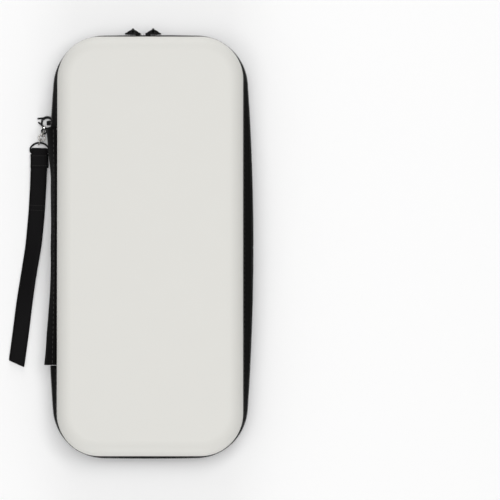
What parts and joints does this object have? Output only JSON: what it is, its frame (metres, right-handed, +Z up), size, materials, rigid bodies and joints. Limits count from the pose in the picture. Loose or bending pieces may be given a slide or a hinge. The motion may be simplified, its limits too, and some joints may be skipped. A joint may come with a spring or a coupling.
{
  "type": "portable game console case",
  "caption": "Zipped hard-shell carry case for a portable game console: hinged white lid with a net pocket, padded dark base with a card flap, zip sliders and a clip-on wrist strap.",
  "frame": {"origin": "middle of the flat face under the base, on the ground", "axes": "+X along the case toward the end with the zip sliders, +Y toward the hinge, +Z up out of the lid"},
  "size_m": [0.2642, 0.1522, 0.048],
  "materials": {
    "white_skin": "smooth matt coated foam board",
    "black_skin": "fine woven cloth bonded to foam board",
    "lining": "short-pile knit",
    "rim_padding": "knit over a soft roll",
    "zip_tape": "woven tape",
    "zip_coil": "moulded coil",
    "cradle_cover": "knit over foam",
    "spine_cloth": "woven cloth",
    "net": "knitted net",
    "elastic": "ribbed elastic",
    "flap_cloth": "knit over board",
    "flap_edge": "woven binding tape",
    "black_metal": "black enamel",
    "silver_metal": "bright plated wire",
    "webbing": "woven nylon"
  },
  "bodies": {
    "base": {"base_shell": "black_skin", "base_lining": "lining", "base_rim_roll": "rim_padding", "base_zip_tape": "zip_tape", "base_zip_coil": "zip_coil", "cradle_rib_right": "cradle_cover", "cradle_rib_left": "cradle_cover", "cradle_ledge_right": "cradle_cover", "cradle_ledge_left": "cradle_cover", "hinge_spine": "spine_cloth", "strap_tab": "webbing"},
    "lid": {"lid_shell": "white_skin", "lid_lining": "lining", "lid_rim_roll": "rim_padding", "lid_zip_tape": "zip_tape", "lid_zip_coil": "zip_coil", "pocket_edging": "elastic", "pocket_hem": "elastic", "pocket_net": "net"},
    "flap": {"flap_panel": "flap_cloth", "flap_binding": "flap_edge", "flap_root_tape": "spine_cloth", "lower_card_band": "elastic", "upper_card_band": "elastic"},
    "rear_slider": {"rear_slider": "black_metal"},
    "rear_pull": {"rear_pull": "black_metal"},
    "front_slider": {"front_slider": "black_metal"},
    "front_pull": {"front_pull": "black_metal"},
    "strap": {"clasp_body": "black_metal", "clasp_pin": "silver_metal", "chain_links": "silver_metal", "strap_ring": "black_metal", "strap_collar": "webbing", "wrist_strap": "webbing"},
    "lever": {"clasp_lever": "black_metal"}
  },
  "joints": [
    {"name": "lid_hinge", "type": "hinge", "parent": "base", "child": "lid", "pos_m": [0, 0.0622, 0.027], "axis": [-1, 0, 0], "range_deg": [0, 180], "deforming": ["hinge_spine"]},
    {"name": "flap_hinge", "type": "hinge", "parent": "base", "child": "flap", "pos_m": [0, 0.0502, 0.0273], "axis": [-1, 0, 0], "range_deg": [0, 36], "deforming": ["flap_root_tape"]},
    {"name": "rear_slider_run", "type": "slide", "parent": "base", "child": "rear_slider", "axis": [0, 1, 0], "range_m": [0, 0.012]},
    {"name": "front_slider_run", "type": "slide", "parent": "base", "child": "front_slider", "axis": [0, -1, 0], "range_m": [0, 0.022]},
    {"name": "rear_pull_swing", "type": "hinge", "parent": "rear_slider", "child": "rear_pull", "pos_m": [0.13285, 0.011, 0.027], "axis": [0, -1, 0], "range_deg": [0, 160]},
    {"name": "front_pull_swing", "type": "hinge", "parent": "front_slider", "child": "front_pull", "pos_m": [0.13285, -0.0015, 0.027], "axis": [0, -1, 0], "range_deg": [0, 160]},
    {"name": "strap_swing", "type": "hinge", "parent": "base", "child": "strap", "pos_m": [0.0775, 0.0649, 0.003], "axis": [0, 0, -1], "range_deg": [0, 80]},
    {"name": "lever_press", "type": "hinge", "parent": "strap", "child": "lever", "pos_m": [0.07463, 0.06699, 0.003], "axis": [0, 0, -1], "range_deg": [0, 16], "stiffness_Nm_per_rad": 0.004}
  ],
  "couplings": [
    {"joint": "flap_hinge", "follows": "lid_hinge", "ratio": 0.2}
  ]
}
